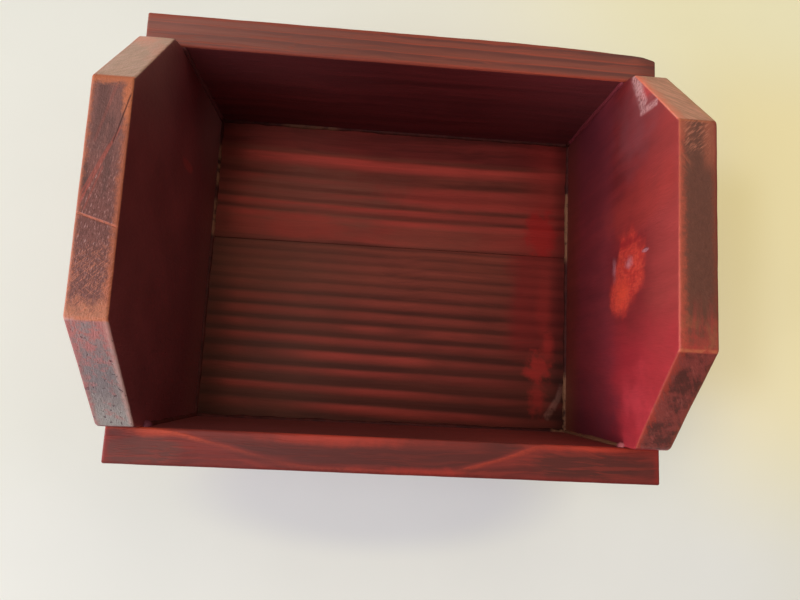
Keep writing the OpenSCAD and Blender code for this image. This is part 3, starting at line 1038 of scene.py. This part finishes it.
class BOARDBOX_OT_stage(bpy.types.Operator):
    """Set up the table, the lamps and the camera"""

    bl_idname = "boardbox.stage"
    bl_label = "Stage"

    def execute(self, context):
        look = context.scene.boardbox_stage
        self.table(look)
        cool, warm = look.cool_colour, look.warm_colour
        self.softbox("low_softbox", (-0.95, -0.30, 0.26), (0.8, 0.34), cool, look.low_power)
        self.softbox("high_softbox", (-0.50, -0.15, 1.10), (0.8, 0.8), cool, look.high_power)
        self.softbox("rear_softbox", (0.40, 0.65, 0.95), (1.0, 0.6), warm, look.rear_power)
        self.softbox("front_strip", (-0.55, -0.95, 0.22), (0.6, 0.3), cool, look.strip_power)
        world = bpy.data.worlds.new("room")
        world.use_nodes = True
        background = world.node_tree.nodes["Background"]
        background.inputs["Color"].default_value = (*look.room_colour, 1.0)
        background.inputs["Strength"].default_value = look.room_strength
        context.scene.world = world
        lens = bpy.data.cameras.new("camera")
        lens.sensor_width = 36.0
        lens.lens = look.camera_lens
        lens.clip_start = 0.005
        camera = bpy.data.objects.new("camera", lens)
        camera.location = look.camera_place
        camera.rotation_euler = look.camera_turn
        context.scene.collection.objects.link(camera)
        context.scene.camera = camera
        context.scene.view_settings.view_transform = "Standard"
        return {"FINISHED"}

    def table(self, look):
        """Wide pale top. The lens alone sees a painted glow on it, a little brighter than the light the
        table throws on the box, and in that glow are painted warm light and painted shadows of the box.
        """
        bm = bmesh.new()
        bmesh.ops.create_grid(bm, x_segments=4, y_segments=4, size=3.0)
        mesh = bpy.data.meshes.new("table")
        bm.to_mesh(mesh)
        bm.free()
        f = Finish("pale_table")
        level = 0.97 + f.noise(f.place, 0.02, 3) * 0.06
        # Warmer towards the right and the rear: painted warm light
        warm = f.rise(f.x + f.y * 0.5, 70, 190)
        lit = f.shade(f.mix(warm, look.table_colour, look.painted_warm_light), level)
        # Painted glow seen only by the camera: painted warm light towards the rear and the right, a
        # painted yellow shadow beside the box's right end, and a painted bluish shadow in front of the
        # front board that fades further out
        painted_glow_colour = f.paint(
            (203, 199, 184),
            (f.rise(f.y, -55, -105), (209, 204, 197)),
            (f.rise(f.x, -110, 110) * f.rise(f.y, 20, 110), (243, 233, 194)),
            (f.rise(f.x, 90, 150) * f.rise(f.y, -105, -30) * f.rise(f.y, 125, 70), (251, 228, 167)),
            (f.between(f.x, 100, 138, 22) * f.between(f.y, -25, 40, 25) * 0.7, (228, 199, 116)),
            (f.patch(f.x, f.y, (-2, -80), (64, 20)), (173, 169, 180)))
        diffuse = f.add("ShaderNodeBsdfDiffuse", inputs={"Color": lit})
        glow = f.add("ShaderNodeEmission", inputs={"Color": f.shade(painted_glow_colour, level), "Strength": 1.5})
        share = f.add("ShaderNodeLightPath", out="Is Camera Ray") * 0.3
        f.show(f.add("ShaderNodeMixShader", inputs={0: share, 1: diffuse, 2: glow}))
        mesh.materials.append(f.material)
        top = bpy.data.objects.new("table", mesh)
        bpy.context.scene.collection.objects.link(top)

    def softbox(self, name, place, size, colour, power):
        lamp = bpy.data.lights.new(name, "AREA")
        lamp.shape = "RECTANGLE"
        lamp.size, lamp.size_y = size
        lamp.color = colour
        lamp.energy = power
        box = bpy.data.objects.new(name, lamp)
        box.location = place
        box.rotation_euler = (-Vector(place)).to_track_quat("-Z", "Y").to_euler()
        bpy.context.scene.collection.objects.link(box)


class BOARDBOX_OT_side_boards(bpy.types.Operator):
    """Make the front and back boards"""

    bl_idname = "boardbox.side_boards"
    bl_label = "Side Boards"

    def execute(self, context):
        look = context.scene.boardbox_boards
        front = side_board("front_board", look)
        finish = front_board_finish()
        finish_piece("stained_front_board", front, finish, "front_board")
        back = side_board("back_board", look)
        sand_corner(back, look)
        lengthen(back)
        finish = back_board_finish()
        finish_piece("stained_back_board", back, finish, "back_board")
        return {"FINISHED"}


class BOARDBOX_OT_end_boards(bpy.types.Operator):
    """Make the two tall end boards"""

    bl_idname = "boardbox.end_boards"
    bl_label = "End Boards"

    def execute(self, context):
        look = context.scene.boardbox_boards
        ends = (("left", left_end_finish, LEFT_LEAN), ("right", right_end_finish, RIGHT_LEAN))
        for side, finish, tips in ends:
            node = side + "_end_board"
            bm = end_board(node, look)
            lean(bm, *tips)
            finish_piece("stained_" + node, bm, finish(), node)
        return {"FINISHED"}


class BOARDBOX_OT_floor_boards(bpy.types.Operator):
    """Make the two floor boards"""

    bl_idname = "boardbox.floor_boards"
    bl_label = "Floor Boards"

    def execute(self, context):
        look = context.scene.boardbox_boards
        for side, finish in (("front", front_floor_finish), ("rear", rear_floor_finish)):
            node = "floor_board_" + side
            bm = floor_board(node, look)
            finish_piece("stained_" + node, bm, finish(), node)
        return {"FINISHED"}


class BOARDBOX_OT_glue(bpy.types.Operator):
    """Make the beads of dried glue in the inside corners"""

    bl_idname = "boardbox.glue"
    bl_label = "Dried Glue"

    def execute(self, context):
        look = context.scene.boardbox_glue
        finish = glue_finish()
        for turn, side in enumerate(("front", "right", "back", "left")):
            length = 2 * (WALL_X if turn % 2 == 0 else WALL_Y) * MM
            bm = bead(length, look.floor_bead, True, self.floor_swell(look, turn))
            self.place(bm, turn)
            node = "glue_bead_" + side
            finish_piece("dried_" + node, bm, finish, node)
        upright = Matrix(((0, 1, 0, 0), (0, 0, 1, 0), (1, 0, 0, 0), (0, 0, 0, 1)))
        corners = (("front_left", 1.1), ("front_right", 1.2), ("back_right", 0.0), ("back_left", 0.0))
        for turn, (corner, lump) in enumerate(corners):
            length = (SIDE_TOP - FLOOR_TOP - 0.4) * MM
            bm = bead(length, look.corner_bead, False, self.corner_swell(look, turn, length, lump))
            bmesh.ops.transform(bm, matrix=upright, verts=bm.verts)
            self.place(bm, turn)
            node = "corner_glue_" + corner
            finish_piece("dried_" + node, bm, finish, node)
        return {"FINISHED"}

    def place(self, bm, turn):
        """Moves a bead made for the front left corner on by quarter turns."""
        x, y = ((-WALL_X, -WALL_Y), (WALL_X, -WALL_Y), (WALL_X, WALL_Y), (-WALL_X, WALL_Y))[turn]
        shift = Matrix.Translation(Vector((x, y, FLOOR_TOP)) * MM)
        turned = Matrix.Rotation(math.radians(90 * turn), 4, "Z")
        bmesh.ops.transform(bm, matrix=shift @ turned, verts=bm.verts)

    def floor_swell(self, look, turn):
        def swell(along):
            place = Vector((along / MM, 40.0 * turn, 3.0))
            return 1 + look.unevenness * (noise.noise(place * 0.13) + 0.6 * noise.noise(place * 0.5))
        return swell

    def corner_swell(self, look, turn, length, lump):
        def swell(along):
            place = Vector((along / MM, 40.0 * turn, 90.0))
            share = 1 + look.unevenness * (noise.noise(place * 0.11) + 0.5 * noise.noise(place * 0.4))
            left = (length - along) / MM
            share += lump * max(0.0, 1 - left / 4.0)
            return share * math.sqrt(min(1.0, 0.15 + left / 1.5))
        return swell


class BOARDBOX_PT_panel(bpy.types.Panel):
    """Lists the steps in the order they are run"""

    bl_label = "Board Box"
    bl_idname = "BOARDBOX_PT_panel"
    bl_space_type = "VIEW_3D"
    bl_region_type = "UI"
    bl_category = "Board Box"

    def draw(self, context):
        scene = context.scene
        groups = (scene.boardbox_stage, scene.boardbox_boards, scene.boardbox_glue)
        for group in groups:
            box = self.layout.box()
            for name in group.__annotations__:
                box.prop(group, name)
        for step in STEPS:
            self.layout.operator(step.bl_idname)


GROUPS = {
    "boardbox_stage": BOARDBOX_PG_stage,
    "boardbox_boards": BOARDBOX_PG_boards,
    "boardbox_glue": BOARDBOX_PG_glue,
}
STEPS = (BOARDBOX_OT_stage, BOARDBOX_OT_side_boards, BOARDBOX_OT_end_boards,
         BOARDBOX_OT_floor_boards, BOARDBOX_OT_glue)
CLASSES = (*GROUPS.values(), *STEPS, BOARDBOX_PT_panel)


def register():
    for kind in CLASSES:
        bpy.utils.register_class(kind)
    for name, kind in GROUPS.items():
        setattr(bpy.types.Scene, name, bpy.props.PointerProperty(type=kind))


def unregister():
    for name in GROUPS:
        delattr(bpy.types.Scene, name)
    for kind in reversed(CLASSES):
        bpy.utils.unregister_class(kind)


def main():
    register()
    bpy.ops.boardbox.stage()
    bpy.ops.boardbox.side_boards()
    bpy.ops.boardbox.end_boards()
    bpy.ops.boardbox.floor_boards()
    bpy.ops.boardbox.glue()


if __name__ == "__main__":
    main()
